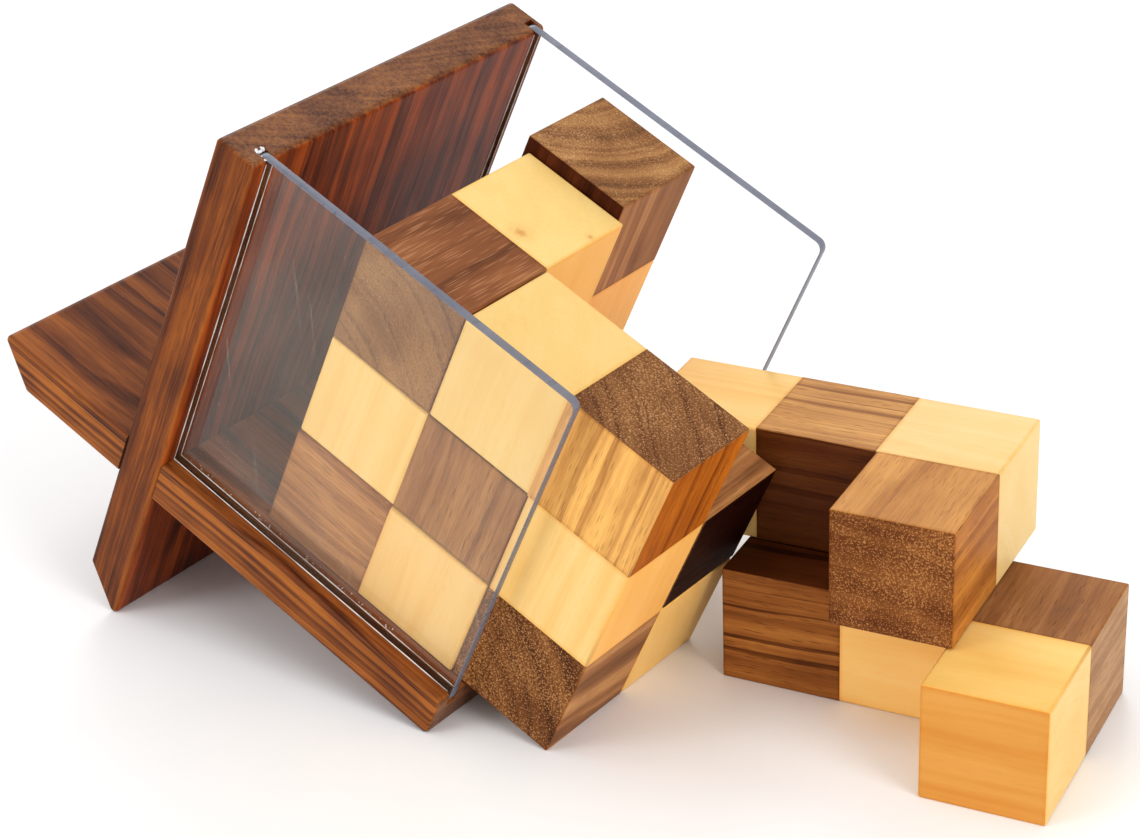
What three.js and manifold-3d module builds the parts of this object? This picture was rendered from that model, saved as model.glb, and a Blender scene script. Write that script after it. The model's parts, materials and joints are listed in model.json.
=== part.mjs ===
// A checkered 3 x 3 x 3 cube puzzle shown in its cradle of two crossed boards and two clear side panels.
// Twenty-seven hardwood blocks, dark and light by turns, are glued into seven pieces. Five of them stand
// in the cradle, slid a little way out along the lower board, and two L-shaped ones lie on the table.
// Millimetres, +Z up. The origin is the middle of the base of the whole display.

import * as THREE from 'three';
import { ConvexGeometry } from 'three/addons/geometries/ConvexGeometry.js';
import { mergeVertices } from 'three/addons/utils/BufferGeometryUtils.js';
import Module from 'manifold-3d';

const wasm = await Module();
wasm.setup();

// ---------------------------------------------------------------------------------- driving sizes

const BLOCK_PITCH = 25; // one block and its share of the air gaps
const AIR_GAP = 0.3; // between faces of different pieces
const GLUE_LINE = 0.04; // between blocks of one piece
const BLOCK_EASE = 0.5; // 45 degree easing along a piece's outer edges

const CRADLE = {
  board: 9.8, // thickness of the two crossed boards
  width: 89.5, // of both boards, across the cradle
  lowerArm: 76.1, // lower board, from the inner corner to its outer end
  upperArm: 78.7, // upper board, from the inner corner to its outer end
  foot: 46.8, // both boards, from the inner corner to the tip of the mitred foot
  endRound: 1.2, // radius across the ends
  rimRound: 0.8, // radius along the two long rims
  halving: 0.1, // glue gap in the cross-lap joint
};

const PANEL = {
  thickness: 2,
  span: 80.2, // clear width between the two panels
  sideways: 1, // both grooves are cut this far past the boards' middle, away from the near panel
  tongue: 3, // depth that a panel stands in the boards' grooves
  cornerRound: 2,
  grooveGap: 0.15, // glue gap on each side of a panel in its groove
};

const CUBE_SIDEWAYS = 0.7; // the cube stands this far past the boards' middle, away from the near panel
const TABLE_GAP = 0.1; // under the cube's lowest edge

// Hand-built play: how far each piece sits from its place in the cube, along the lower board,
// across the cradle and along the upper board.
const PLAY = {
  bottom_zigzag: [0, -0.4, 0],
  middle_zigzag: [0, 0, 0],
  inside_l: [0, 0, 0],
  near_l: [0, -0.15, 0],
  far_bar: [-1.5, 0, 3],
};

// Where the two loose pieces lie: along and across from the foot's tip and the cradle's middle, and turn.
const LOOSE_BOTTOM = { along: 121.3, across: 4.3, turnDegrees: 10.3 };
const LOOSE_TOP = { along: -22.9, across: 13.25, turnDegrees: -0.2 }; // on the bottom piece

// Each piece is a list of cells [along, across, up] of the cube, counted from 1 at the inner corner.
const CRADLE_PIECES = {
  bottom_zigzag: [[1, 1, 1], [2, 1, 1], [2, 2, 1], [3, 2, 1]],
  middle_zigzag: [[1, 1, 2], [2, 1, 2], [2, 2, 2], [3, 2, 2]],
  inside_l: [[1, 1, 3], [1, 2, 3], [1, 2, 2], [1, 2, 1]],
  near_l: [[2, 1, 3], [3, 1, 3], [3, 1, 2], [3, 1, 1]],
  far_bar: [[1, 3, 1], [1, 3, 2], [1, 3, 3]],
};
const LOOSE_PIECES = {
  loose_bottom_l: [[3, 3, 1], [3, 3, 2], [3, 3, 3], [3, 2, 3]],
  loose_top_l: [[2, 3, 1], [2, 3, 2], [2, 3, 3], [2, 2, 3]],
};

const FINISHES = {
  dark: { color: 0x6b3f22, roughness: 0.55 },
  light: { color: 0xd9a854, roughness: 0.5 },
  rosewood: { color: 0x7a4526, roughness: 0.35 },
  acrylic: { color: 0xd8dee2, roughness: 0.05, transparent: true, opacity: 0.3 },
};

// ---------------------------------------------------------------------------------- derived sizes

const CUBE_SIDE = 3 * BLOCK_PITCH;
const HALF_AIR = AIR_GAP / 2;
const SIN_45 = Math.SQRT1_2;

// The cradle lies over on the tip of the upper board's foot and the end of the lower board. Both are
// rounded alike, so the table touches two circles, and the line through their centres is level.
const footCentre = new THREE.Vector2(
  -CRADLE.endRound,
  -CRADLE.foot + CRADLE.endRound * (1 + Math.SQRT2),
);
const endCentre = new THREE.Vector2(
  CRADLE.lowerArm - CRADLE.endRound,
  -CRADLE.board + CRADLE.endRound,
);
const TILT = endCentre.clone().sub(footCentre).angle();
const tableUp = new THREE.Vector2(-Math.sin(TILT), Math.cos(TILT));
const TABLE_LEVEL = footCentre.dot(tableUp) - CRADLE.endRound;

// The cube is slid out until its lowest edge meets the table.
const lowestUp = AIR_GAP * Math.cos(TILT) + BLOCK_EASE * Math.sin(TILT);
const SLIDE_OUT = (lowestUp - TABLE_LEVEL - TABLE_GAP) / Math.sin(TILT) - CUBE_SIDE + HALF_AIR;

// ---------------------------------------------------------------------------------- shared helpers

/** A mesh with its own plain material. */
function namedMesh(name, geometry, finish) {
  const mesh = new THREE.Mesh(geometry, new THREE.MeshStandardMaterial(FINISHES[finish]));
  mesh.name = name;
  return mesh;
}

/** A closed three.js geometry as a solid for boolean work. */
function toSolid(geometry) {
  const bare = geometry.clone();
  bare.deleteAttribute('normal');
  bare.deleteAttribute('uv');
  const merged = mergeVertices(bare, 1e-4);
  return new wasm.Manifold(new wasm.Mesh({
    numProp: 3,
    vertProperties: new Float32Array(merged.attributes.position.array),
    triVerts: new Uint32Array(merged.index.array),
  }));
}

/** A solid as a three.js geometry. */
function toGeometry(solid) {
  const mesh = solid.getMesh();
  const geometry = new THREE.BufferGeometry();
  geometry.setAttribute('position', new THREE.BufferAttribute(mesh.vertProperties, 3));
  geometry.setIndex(new THREE.BufferAttribute(mesh.triVerts, 1));
  geometry.computeVertexNormals();
  return geometry;
}

/** A box solid from its lowest to its highest corner. */
function boxSolid(low, high) {
  const size = high.map((value, axis) => value - low[axis]);
  const geometry = new THREE.BoxGeometry(...size);
  geometry.translate(...low.map((value, axis) => value + size[axis] / 2));
  return toSolid(geometry);
}

/** A closed outline through anticlockwise corners, each rounded to the radius. */
function roundedOutline(corners, radius) {
  const outline = new THREE.Shape();
  corners.forEach((corner, index) => {
    const before = corners.at(index - 1).clone().sub(corner).normalize();
    const after = corners.at((index + 1) % corners.length).clone().sub(corner).normalize();
    const halfAngle = Math.acos(before.dot(after)) / 2;
    const bisector = before.clone().add(after).normalize();
    const centre = corner.clone().addScaledVector(bisector, radius / Math.sin(halfAngle));
    const run = radius / Math.tan(halfAngle);
    const start = corner.clone().addScaledVector(before, run).sub(centre);
    const end = corner.clone().addScaledVector(after, run).sub(centre);
    outline.absarc(centre.x, centre.y, radius, start.angle(), end.angle(), false);
  });
  outline.closePath();
  return outline;
}

/** An outline in the cradle's side view, drawn out across the cradle about its middle. */
function acrossCradle(outline, width, rim) {
  const geometry = new THREE.ExtrudeGeometry(outline, {
    depth: width - 2 * rim,
    curveSegments: 6,
    bevelEnabled: rim > 0,
    bevelThickness: rim,
    bevelSize: rim,
    bevelOffset: -rim,
    bevelSegments: 4,
  });
  geometry.rotateX(Math.PI / 2);
  geometry.translate(0, width / 2 - rim, 0);
  return geometry;
}

// ---------------------------------------------------------------------------------- the cradle

/** The middle of a panel's thickness: side is -1 for the near panel and 1 for the far one. */
function panelMiddle(side) {
  return PANEL.sideways + side * (PANEL.span + PANEL.thickness) / 2;
}

/** The two panel grooves, cut into both boards at once and run out through their ends. */
function grooveSolids() {
  const halfGroove = PANEL.thickness / 2 + PANEL.grooveGap;
  const start = -PANEL.tongue - PANEL.grooveGap;
  const reach = 2 * CRADLE.upperArm;
  return [-1, 1].map((side) => boxSolid(
    [start, panelMiddle(side) - halfGroove, start],
    [reach, panelMiddle(side) + halfGroove, reach],
  ));
}

/** A board with its half of the cross-lap and both panel grooves cut. */
function cutBoard(outline, slot) {
  let solid = toSolid(acrossCradle(outline, CRADLE.width, CRADLE.rimRound)).subtract(slot);
  for (const groove of grooveSolids()) solid = solid.subtract(groove);
  return toGeometry(solid);
}

/** The steep board: its foot carries the cradle, and its far half is slotted over the lower board. */
function makeUpperBoard() {
  const { board, upperArm, foot, endRound, halving, width } = CRADLE;
  const outline = roundedOutline([
    new THREE.Vector2(-board, upperArm),
    new THREE.Vector2(-board, board - foot),
    new THREE.Vector2(0, -foot),
    new THREE.Vector2(0, upperArm),
  ], endRound);
  const slot = boxSolid([-2 * board, 0, -board - halving], [board, width, halving]);
  return namedMesh('cradle_upper_board', cutBoard(outline, slot), 'rosewood');
}

/** The board that the cube slides on: its near half is slotted for the upper board. */
function makeLowerBoard() {
  const { board, lowerArm, foot, endRound, halving, width } = CRADLE;
  const outline = roundedOutline([
    new THREE.Vector2(-foot, 0),
    new THREE.Vector2(board - foot, -board),
    new THREE.Vector2(lowerArm, -board),
    new THREE.Vector2(lowerArm, 0),
  ], endRound);
  const slot = boxSolid([-board - halving, -width, -2 * board], [halving, halving, board]);
  return namedMesh('cradle_lower_board', cutBoard(outline, slot), 'rosewood');
}

/** A clear panel, flush with the ends of both boards, with its free corner rounded. */
function makePanel(name, side) {
  const { tongue, thickness, cornerRound } = PANEL;
  const outline = roundedOutline([
    new THREE.Vector2(-tongue, -tongue),
    new THREE.Vector2(CRADLE.lowerArm, -tongue),
    new THREE.Vector2(CRADLE.lowerArm, CRADLE.upperArm),
    new THREE.Vector2(-tongue, CRADLE.upperArm),
  ], cornerRound);
  const geometry = acrossCradle(outline, thickness, 0);
  geometry.translate(0, panelMiddle(side), 0);
  return namedMesh(name, geometry, 'acrylic');
}

// ---------------------------------------------------------------------------------- the puzzle pieces

/** Whether the piece has a block in the cell next to this one on an axis. */
function hasNeighbour(cells, cell, axis, side) {
  return cells.some((other) => other.every((value, at) => value === cell[at] + (at === axis ? side : 0)));
}

/** The points of one block's corner: eased on every edge between two open faces. */
function cornerPoints(half, open) {
  const openAxes = [0, 1, 2].filter((axis) => open[axis]);
  if (openAxes.length < 2) return [half];
  const points = openAxes.map((kept) => half.map((value, axis) => (
    open[axis] && axis !== kept ? value - BLOCK_EASE : value
  )));
  if (openAxes.length === 3) points.push(half.map((value) => value - BLOCK_EASE / 2));
  return points;
}

/** One block about the centre of its cell, set back from its cell's open and glued faces. */
function blockGeometry(cells, cell) {
  const points = [];
  for (const x of [-1, 1]) for (const y of [-1, 1]) for (const z of [-1, 1]) {
    const sides = [x, y, z];
    const open = sides.map((side, axis) => !hasNeighbour(cells, cell, axis, side));
    const half = open.map((isOpen) => (BLOCK_PITCH - (isOpen ? AIR_GAP : GLUE_LINE)) / 2);
    for (const point of cornerPoints(half, open)) {
      points.push(new THREE.Vector3(...point.map((value, axis) => value * sides[axis])));
    }
  }
  return new ConvexGeometry(points);
}

/** A glued piece of dark and light blocks, in the frame of the cube it belongs to. */
function makePiece(name, cells) {
  const piece = new THREE.Group();
  cells.forEach((cell, index) => {
    const [along, across, up] = cell;
    const tone = (along + across + up) % 2 ? 'dark' : 'light';
    const block = namedMesh(`${name}_${tone}_${index + 1}`, blockGeometry(cells, cell), tone);
    block.position.set(along - 0.5, across - 0.5, up - 0.5).multiplyScalar(BLOCK_PITCH);
    piece.add(block);
  });
  return piece;
}

/** A loose piece laid on its flat side, its row along X and its lowest face at zero. */
function makeLoosePiece(name, cells) {
  const piece = makePiece(name, cells);
  const layer = cells[0][0];
  piece.rotation.y = Math.PI / 2;
  piece.position.set(0, -2 * BLOCK_PITCH, layer * BLOCK_PITCH - HALF_AIR);
  const holder = new THREE.Group();
  holder.add(piece);
  return holder;
}

/** Turns a loose piece on the table and puts it in its place. */
function layPiece(holder, place, height) {
  holder.rotation.z = THREE.MathUtils.degToRad(place.turnDegrees);
  holder.position.set(place.along, place.across, height);
  return holder;
}

// ---------------------------------------------------------------------------------- the display

const cradle = new THREE.Group();
cradle.add(
  makeUpperBoard(),
  makeLowerBoard(),
  makePanel('cradle_near_panel', -1),
  makePanel('cradle_far_panel', 1),
);

const cube = new THREE.Group();
cube.position.set(SLIDE_OUT, CUBE_SIDEWAYS - CUBE_SIDE / 2, HALF_AIR);
for (const [name, cells] of Object.entries(CRADLE_PIECES)) {
  const piece = makePiece(name, cells);
  piece.position.set(...PLAY[name]);
  cube.add(piece);
}
cradle.add(cube);
cradle.rotation.y = TILT;
cradle.position.z = -TABLE_LEVEL;

const looseBottom = layPiece(makeLoosePiece('loose_bottom_l', LOOSE_PIECES.loose_bottom_l), LOOSE_BOTTOM, 0);
looseBottom.position.x += -CRADLE.foot * Math.sin(TILT);
looseBottom.add(layPiece(makeLoosePiece('loose_top_l', LOOSE_PIECES.loose_top_l), LOOSE_TOP, BLOCK_PITCH));

const display = new THREE.Group();
display.add(cradle, looseBottom);
const bounds = new THREE.Box3().setFromObject(display, true);
const middle = bounds.getCenter(new THREE.Vector3());
display.position.set(-middle.x, -middle.y, -bounds.min.z);

const model = new THREE.Group();
model.add(display);

export default model;
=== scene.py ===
"""Builds the looks of a checkered cube puzzle in its cradle of crossed boards and clear panels.

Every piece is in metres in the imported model's frame: +Z up, +Y across the cradle, +X towards the loose
pieces.
"""

import json
import logging
import math
from dataclasses import dataclass, field
from enum import Enum
from typing import Any

import bmesh
import bpy
import numpy as np
from bpy.types import NodeSocket as Socket
from bpy.types import NodeTree
from mathutils import Matrix, Vector


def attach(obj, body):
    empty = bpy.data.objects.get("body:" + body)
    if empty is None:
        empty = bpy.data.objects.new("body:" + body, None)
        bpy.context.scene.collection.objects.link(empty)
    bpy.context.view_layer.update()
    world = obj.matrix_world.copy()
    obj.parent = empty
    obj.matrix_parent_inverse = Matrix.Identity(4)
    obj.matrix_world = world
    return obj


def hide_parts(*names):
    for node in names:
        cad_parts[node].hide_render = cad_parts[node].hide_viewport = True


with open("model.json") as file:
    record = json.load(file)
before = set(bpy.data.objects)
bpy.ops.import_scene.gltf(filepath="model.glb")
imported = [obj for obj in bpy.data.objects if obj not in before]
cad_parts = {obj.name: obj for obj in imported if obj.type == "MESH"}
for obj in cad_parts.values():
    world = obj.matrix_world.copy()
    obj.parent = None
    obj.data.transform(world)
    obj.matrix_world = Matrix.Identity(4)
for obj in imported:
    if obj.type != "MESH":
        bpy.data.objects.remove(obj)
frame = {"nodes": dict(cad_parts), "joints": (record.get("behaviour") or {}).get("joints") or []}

LOG = logging.getLogger("cube_puzzle")
MM = 0.001
CUT_STEP = 137.0  # millimetres along the grain between one piece's cut and the next
NO_WORN_EDGES = 1000.0  # a half size in millimetres that no board reaches
SAW_REACH = 0.003  # how far the saw passes a block's free sides, in metres
EASED_FACE = 30e-6  # a block's faces below this area, in square metres, belong to its eased edges
FULL_TURN = 6.3
Colour = tuple[float, float, float]
PORE_DUST: Colour = (0.62, 0.33, 0.13)


# --- node helpers ---


@dataclass
class Graph:
    """Short spellings for making and joining the nodes of one tree."""

    tree: NodeTree

    def add(self, kind: str, inputs: dict[str | int, Any] | None = None, **settings: Any) -> bpy.types.Node:
        """Makes a node.

        Args:
            kind: The node's type name.
            inputs: What each input holds or is joined to, by its name or place.
            settings: Values for the node's own properties.

        Returns:
            The new node.
        """
        node = self.tree.nodes.new(kind)
        for name, value in settings.items():
            setattr(node, name, value)
        for key, value in (inputs or {}).items():
            self.feed(node.inputs[key], value)
        return node

    def feed(self, socket: Socket, value: Any) -> None:
        """Joins a socket to another one, or sets its value.

        Args:
            socket: The input to fill.
            value: An output socket, or a plain value.
        """
        if isinstance(value, Socket):
            self.tree.links.new(value, socket)
        elif isinstance(value, tuple) and socket.type == "RGBA":
            socket.default_value = (*value[:3], 1.0)
        else:
            socket.default_value = value

    def math(self, operation: str, first: Any, second: Any = 0.0, third: Any = 0.0) -> Socket:
        """A Math node's result.

        Args:
            operation: The Math node's operation.
            first: The first value or socket.
            second: The second value or socket.
            third: The third value or socket.

        Returns:
            The result's socket.
        """
        node = self.add("ShaderNodeMath", operation=operation)
        for place, value in enumerate((first, second, third)):
            self.feed(node.inputs[place], value)
        return node.outputs[0]

    def vector(self, operation: str, first: Any, second: Any = (0.0, 0.0, 0.0)) -> Socket:
        """A Vector Math node's result.

        Args:
            operation: The Vector Math node's operation.
            first: The first vector or socket.
            second: The second vector or socket.

        Returns:
            The result's socket, which holds a number for a length or a distance.
        """
        node = self.add("ShaderNodeVectorMath", {0: first, 1: second}, operation=operation)
        return node.outputs["Value" if operation in ("LENGTH", "DISTANCE") else "Vector"]

    def scaled(self, vector: Any, factor: Any) -> Socket:
        """A vector times a number."""
        node = self.add("ShaderNodeVectorMath", {0: vector, "Scale": factor}, operation="SCALE")
        return node.outputs["Vector"]

    def split(self, vector: Any) -> bpy.types.bpy_prop_collection:
        """A vector's three parts, as sockets."""
        return self.add("ShaderNodeSeparateXYZ", {0: vector}).outputs

    def join(self, x: Any, y: Any, z: Any) -> Socket:
        """A vector made of three parts."""
        return self.add("ShaderNodeCombineXYZ", {0: x, 1: y, 2: z}).outputs[0]

    def remap(self, value: Any, low: float, high: float, new_low: float = 0.0,
              new_high: float = 1.0) -> Socket:
        """A value moved smoothly from one range to another.

        Args:
            value: The value or socket.
            low: The value that becomes new_low.
            high: The value that becomes new_high.
            new_low: The result at low.
            new_high: The result at high.

        Returns:
            The result's socket.
        """
        node = self.add(
            "ShaderNodeMapRange",
            {"Value": value, "From Min": low, "From Max": high, "To Min": new_low, "To Max": new_high},
            interpolation_type="SMOOTHSTEP",
        )
        return node.outputs["Result"]

    def mix(self, share: Any, first: Any, second: Any, blend: str = "MIX") -> Socket:
        """Two colours mixed.

        Args:
            share: How much of the second colour shows.
            first: The first colour or socket.
            second: The second colour or socket.
            blend: The Mix node's blend type.

        Returns:
            The mixed colour's socket.
        """
        node = self.add("ShaderNodeMix", data_type="RGBA", blend_type=blend)
        for socket, value in zip((node.inputs[0], node.inputs[6], node.inputs[7]), (share, first, second)):
            self.feed(socket, value)
        return node.outputs[2]

    def noise(self, place: Any, scale: float = 1.0, detail: float = 2.0, roughness: float = 0.5) -> Socket:
        """A noise pattern's value.

        Args:
            place: Where the pattern is read.
            scale: How fine it is.
            detail: How many finer layers it has.
            roughness: How strong the finer layers are.

        Returns:
            The value's socket.
        """
        return self.add("ShaderNodeTexNoise", {"Vector": place, "Scale": scale, "Detail": detail,
                                               "Roughness": roughness}).outputs["Fac"]

    def ramp(self, value: Any, stops: list[tuple[float, Colour]]) -> Socket:
        """A colour read from a ramp.

        Args:
            value: The value or socket that picks the colour.
            stops: Places along the ramp with their colours.

        Returns:
            The colour's socket.
        """
        node = self.add("ShaderNodeValToRGB", {0: value})
        elements = node.color_ramp.elements
        while len(elements) < len(stops):
            elements.new(0.5)
        for element, (place, colour) in zip(elements, stops):
            element.position = place
            element.color = (*colour, 1.0)
        return node.outputs["Color"]


def new_material(name: str) -> tuple[bpy.types.Material, Graph]:
    """An empty node material.

    Args:
        name: The material's name.

    Returns:
        The material, and the graph to build its nodes in.
    """
    material = bpy.data.materials.new(name)
    material.use_nodes = True
    material.node_tree.nodes.clear()
    return material, Graph(material.node_tree)


def linked(name: str, data: bpy.types.ID) -> bpy.types.Object:
    """An object in the scene, at the origin.

    Args:
        name: The object's name.
        data: Its mesh, light or camera.

    Returns:
        The object.
    """
    thing = bpy.data.objects.new(name, data)
    bpy.context.scene.collection.objects.link(thing)
    return thing


def mesh_of(shape: bmesh.types.BMesh, name: str) -> bpy.types.Mesh:
    """Turns an edited shape into a mesh, and frees it.

    Args:
        shape: The edited shape.
        name: The mesh's name.

    Returns:
        The mesh.
    """
    mesh = bpy.data.meshes.new(name)
    shape.to_mesh(mesh)
    shape.free()
    return mesh


def tree_with_sockets(name: str, kind: str, inputs: dict[str, str], outputs: dict[str, str]) -> NodeTree:
    """An empty node group with named sockets.

    Args:
        name: The group's name.
        kind: ShaderNodeTree or GeometryNodeTree.
        inputs: Socket kinds by input name.
        outputs: Socket kinds by output name.

    Returns:
        The node group.
    """
    tree = bpy.data.node_groups.new(name, kind)
    for direction, sockets in (("INPUT", inputs), ("OUTPUT", outputs)):
        for socket, socket_kind in sockets.items():
            tree.interface.new_socket(name=socket, in_out=direction, socket_type=f"NodeSocket{socket_kind}")
    return tree


def close_tree(g: Graph, geometry: Socket, material: Socket) -> None:
    """Ends a geometry tree with real geometry in one material.

    Args:
        g: The tree's graph.
        geometry: What the tree has made.
        material: The material's socket.
    """
    whole = g.add("GeometryNodeRealizeInstances", {0: geometry}).outputs[0]
    dressed = g.add("GeometryNodeSetMaterial", {"Geometry": whole, "Material": material}).outputs[0]
    g.add("NodeGroupOutput", {"Geometry": dressed})


def grow_mesh(tree: NodeTree, name: str, values: dict[str, Any]) -> bpy.types.Object:
    """Runs a geometry tree once and keeps its result as a plain mesh object.

    Args:
        tree: The geometry tree.
        name: The new piece's name.
        values: What each named input holds.

    Returns:
        The finished piece, at the origin.
    """
    host = linked(f"{name}_host", bpy.data.meshes.new(f"{name}_host"))
    modifier = host.modifiers.new("grow", "NODES")
    modifier.node_group = tree
    for item in tree.interface.items_tree:
        if item.item_type == "SOCKET" and item.in_out == "INPUT" and item.name in values:
            modifier[item.identifier] = values[item.name]
    bpy.context.view_layer.update()
    evaluated = host.evaluated_get(bpy.context.evaluated_depsgraph_get())
    mesh = bpy.data.meshes.new_from_object(evaluated)
    host.modifiers.remove(modifier)
    bpy.data.objects.remove(host)
    mesh.name = name
    return linked(name, mesh)


# --- wood ---


class Way(Enum):
    """One of a piece's own directions."""

    ALONG = 0
    ACROSS = 1
    UP = 2


class Tone(Enum):
    """The two woods of the puzzle."""

    DARK = "dark"
    LIGHT = "light"


class PoreFill(Enum):
    """What the pores hold where they lie open along a face."""

    SHADOW = "shadow"
    DUST = "dust"


def wood_pattern_tree() -> NodeTree:
    """The solid pattern of any wood, in millimetres with the grain along Z.

    Returns:
        A shader group whose outputs are masks from 0 to 1.
    """
    tree = tree_with_sockets(
        "wood_pattern",
        "ShaderNodeTree",
        {
            "Place": "Vector", "Facing": "Vector", "Cut": "Vector", "Ring Width": "Float", "Wander": "Float",
            "Pore Spacing": "Float", "Pore Size": "Float", "Pore Length": "Float", "Half Size": "Float",
        },
        {
            "Bands": "Float", "Lines": "Float", "Fibre": "Float", "Hair": "Float", "Cloud": "Float",
            "Pores": "Float", "Dots": "Float", "Edge": "Float", "Sides": "Vector",
        },
    )
    g = Graph(tree)
    given = g.add("NodeGroupInput").outputs
    place = g.vector("ADD", given["Place"], given["Cut"])

    def stretched(x: float, z: float) -> Socket:
        """The place scaled by x across the grain and by z along it."""
        return g.vector("MULTIPLY", place, (x, x, z))

    def spots(cells: bpy.types.Node, size: Any, inner: float, outer: float) -> Socket:
        """A spot in each Voronoi cell, some stronger than others.

        Args:
            cells: The Voronoi node.
            size: The spots' size as a share of a cell.
            inner: Where a spot starts to fade, as a share of its size.
            outer: Where it ends.

        Returns:
            The spots' strength from 0 to 1.
        """
        spot = g.remap(g.math("DIVIDE", cells.outputs["Distance"], size), inner, outer, 1.0, 0.0)
        chance = g.split(cells.outputs["Color"])[0]
        return g.math("MULTIPLY", spot, g.math("MULTIPLY_ADD", chance, 0.75, 0.25))

    # growth rings: random bands read along the distance from the heart of the tree
    sway = g.add("ShaderNodeTexNoise", {"Vector": stretched(0.045, 0.014), "Scale": 1.0, "Detail": 2.0})
    sway = g.scaled(g.vector("SUBTRACT", sway.outputs["Color"], (0.5, 0.5, 0.5)), given["Wander"])
    radial = g.vector("MULTIPLY", g.vector("ADD", place, sway), (1.0, 1.0, 0.0))
    distance = g.vector("LENGTH", radial)
    ring_place = g.math("DIVIDE", distance, given["Ring Width"])
    bands = g.add("ShaderNodeTexNoise", {"W": ring_place, "Scale": 1.0, "Detail": 3.0, "Roughness": 0.6},
                  noise_dimensions="1D").outputs["Fac"]
    bands = g.remap(bands, 0.28, 0.72)
    lines = g.add("ShaderNodeTexNoise", {"W": g.math("MULTIPLY", ring_place, 2.2), "Scale": 1.0,
                                         "Detail": 1.0}, noise_dimensions="1D").outputs["Fac"]
    lines = g.remap(lines, 0.58, 0.68)

    fibre = g.remap(g.noise(stretched(1.3, 0.022), 1.0, 4.0, 0.62), 0.3, 0.7)
    hair = g.remap(g.noise(stretched(4.6, 0.16), 1.0, 2.0, 0.6), 0.3, 0.7)
    cloud = g.remap(g.noise(stretched(0.09, 0.05), 1.0, 2.0), 0.3, 0.7)

    # pores: short thin tubes along the grain, and dots where the wood is cut across
    fine = g.math("DIVIDE", 1.0, given["Pore Spacing"])
    tube = g.join(fine, fine, g.math("DIVIDE", 1.0, given["Pore Length"]))
    cells = g.add("ShaderNodeTexVoronoi", {"Vector": g.vector("MULTIPLY", place, tube), "Scale": 1.0})
    size = g.math("MULTIPLY", given["Pore Size"], g.math("ADD", 0.7, g.math("MULTIPLY", cloud, 0.6)))
    pores = spots(cells, size, 0.45, 1.0)
    crawl = g.add("ShaderNodeTexNoise", {"Vector": place, "Scale": 1.1, "Detail": 1.0}).outputs["Color"]
    crawled = g.vector("ADD", place, crawl)
    cells = g.add("ShaderNodeTexVoronoi", {"Vector": g.vector("MULTIPLY", crawled, tube), "Scale": 0.95},
                  voronoi_dimensions="2D")
    dots = spots(cells, size, 0.4, 1.35)

    facing = g.split(g.vector("ABSOLUTE", given["Facing"]))
    sides = g.join(*(g.remap(facing[axis], 0.55, 0.9) for axis in "XYZ"))

    # how close the second-furthest side is, which is 1 only along the edges
    side = g.split(g.vector("ABSOLUTE", given["Place"]))
    wider = g.math("MAXIMUM", side["X"], side["Y"])
    second = g.math("MAXIMUM", g.math("MINIMUM", side["X"], side["Y"]), g.math("MINIMUM", wider, side["Z"]))
    reach = g.math("SUBTRACT", second, given["Half Size"])
    ragged = g.math("ADD", reach, g.math("MULTIPLY", g.noise(given["Place"], 0.8, 3.0), 0.7))
    edge = g.remap(ragged, -0.55, 0.35)

    g.add("NodeGroupOutput", {"Bands": bands, "Lines": lines, "Fibre": fibre, "Hair": hair, "Cloud": cloud,
                              "Pores": pores, "Dots": dots, "Edge": edge, "Sides": sides})
    return tree


@dataclass(frozen=True)
class WoodFinish:
    """One wood: its colours, the size of its figure and its polish. Lengths are in millimetres."""

    slot: str
    deep: Colour
    middle: Colour
    pale: Colour
    pore_long: Colour
    pore_end: Colour
    pore_long_share: float
    pore_end_share: float
    end_tint: Colour
    edge_tint: Colour
    ring_width: float
    wander: float
    pore_spacing: float
    pore_size: float
    pore_length: float
    cloud: float
    hair: float
    lines: float
    end_bands: float
    roughness: float
    shine: float
    bump: float


@dataclass(frozen=True)
class WoodCut:
    """How one piece was sawn from its board.

    Attributes:
        grain: The direction of its grain.
        heart: Where the heart of the tree lies from the piece's middle, in millimetres across the grain.
        tint: A colour that multiplies the wood's own.
        bands: How strongly the growth rings show.
        shift: Moves the whole figure towards the deep colour below 0 and the pale one above 0.
        fibre: How strongly the long fibres show.
        ring_scale: The spacing of its rings as a share of the wood's own.
        pores: How strongly its pores show along the grain, as a share of the wood's own.
        dots: How strongly they show on the end grain.
        fill: What its pores hold.
        pore_reach: How long and wide its pores are, as a share of the wood's own.
        lines: How dark the thin lines between its growth rings are.
        faces: Colours that also multiply the faces that look one way or the other along a direction; they
            give partly the faces' own tone and partly painted light and shade on them.
        knots: Small knots, as places from the piece's middle in millimetres with their radius.
    """

    grain: Way
    heart: tuple[float, float] = (40.0, 18.0)
    tint: Colour = (1.0, 1.0, 1.0)
    bands: float = 0.4
    shift: float = 0.0
    fibre: float = 0.12
    ring_scale: float = 1.0
    pores: float = 1.0
    dots: float = 1.0
    fill: PoreFill = PoreFill.SHADOW
    pore_reach: float = 1.0
    lines: float = 0.12
    faces: tuple[tuple[Way, Colour], ...] = ()
    knots: tuple[tuple[float, float, float, float], ...] = ()


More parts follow.
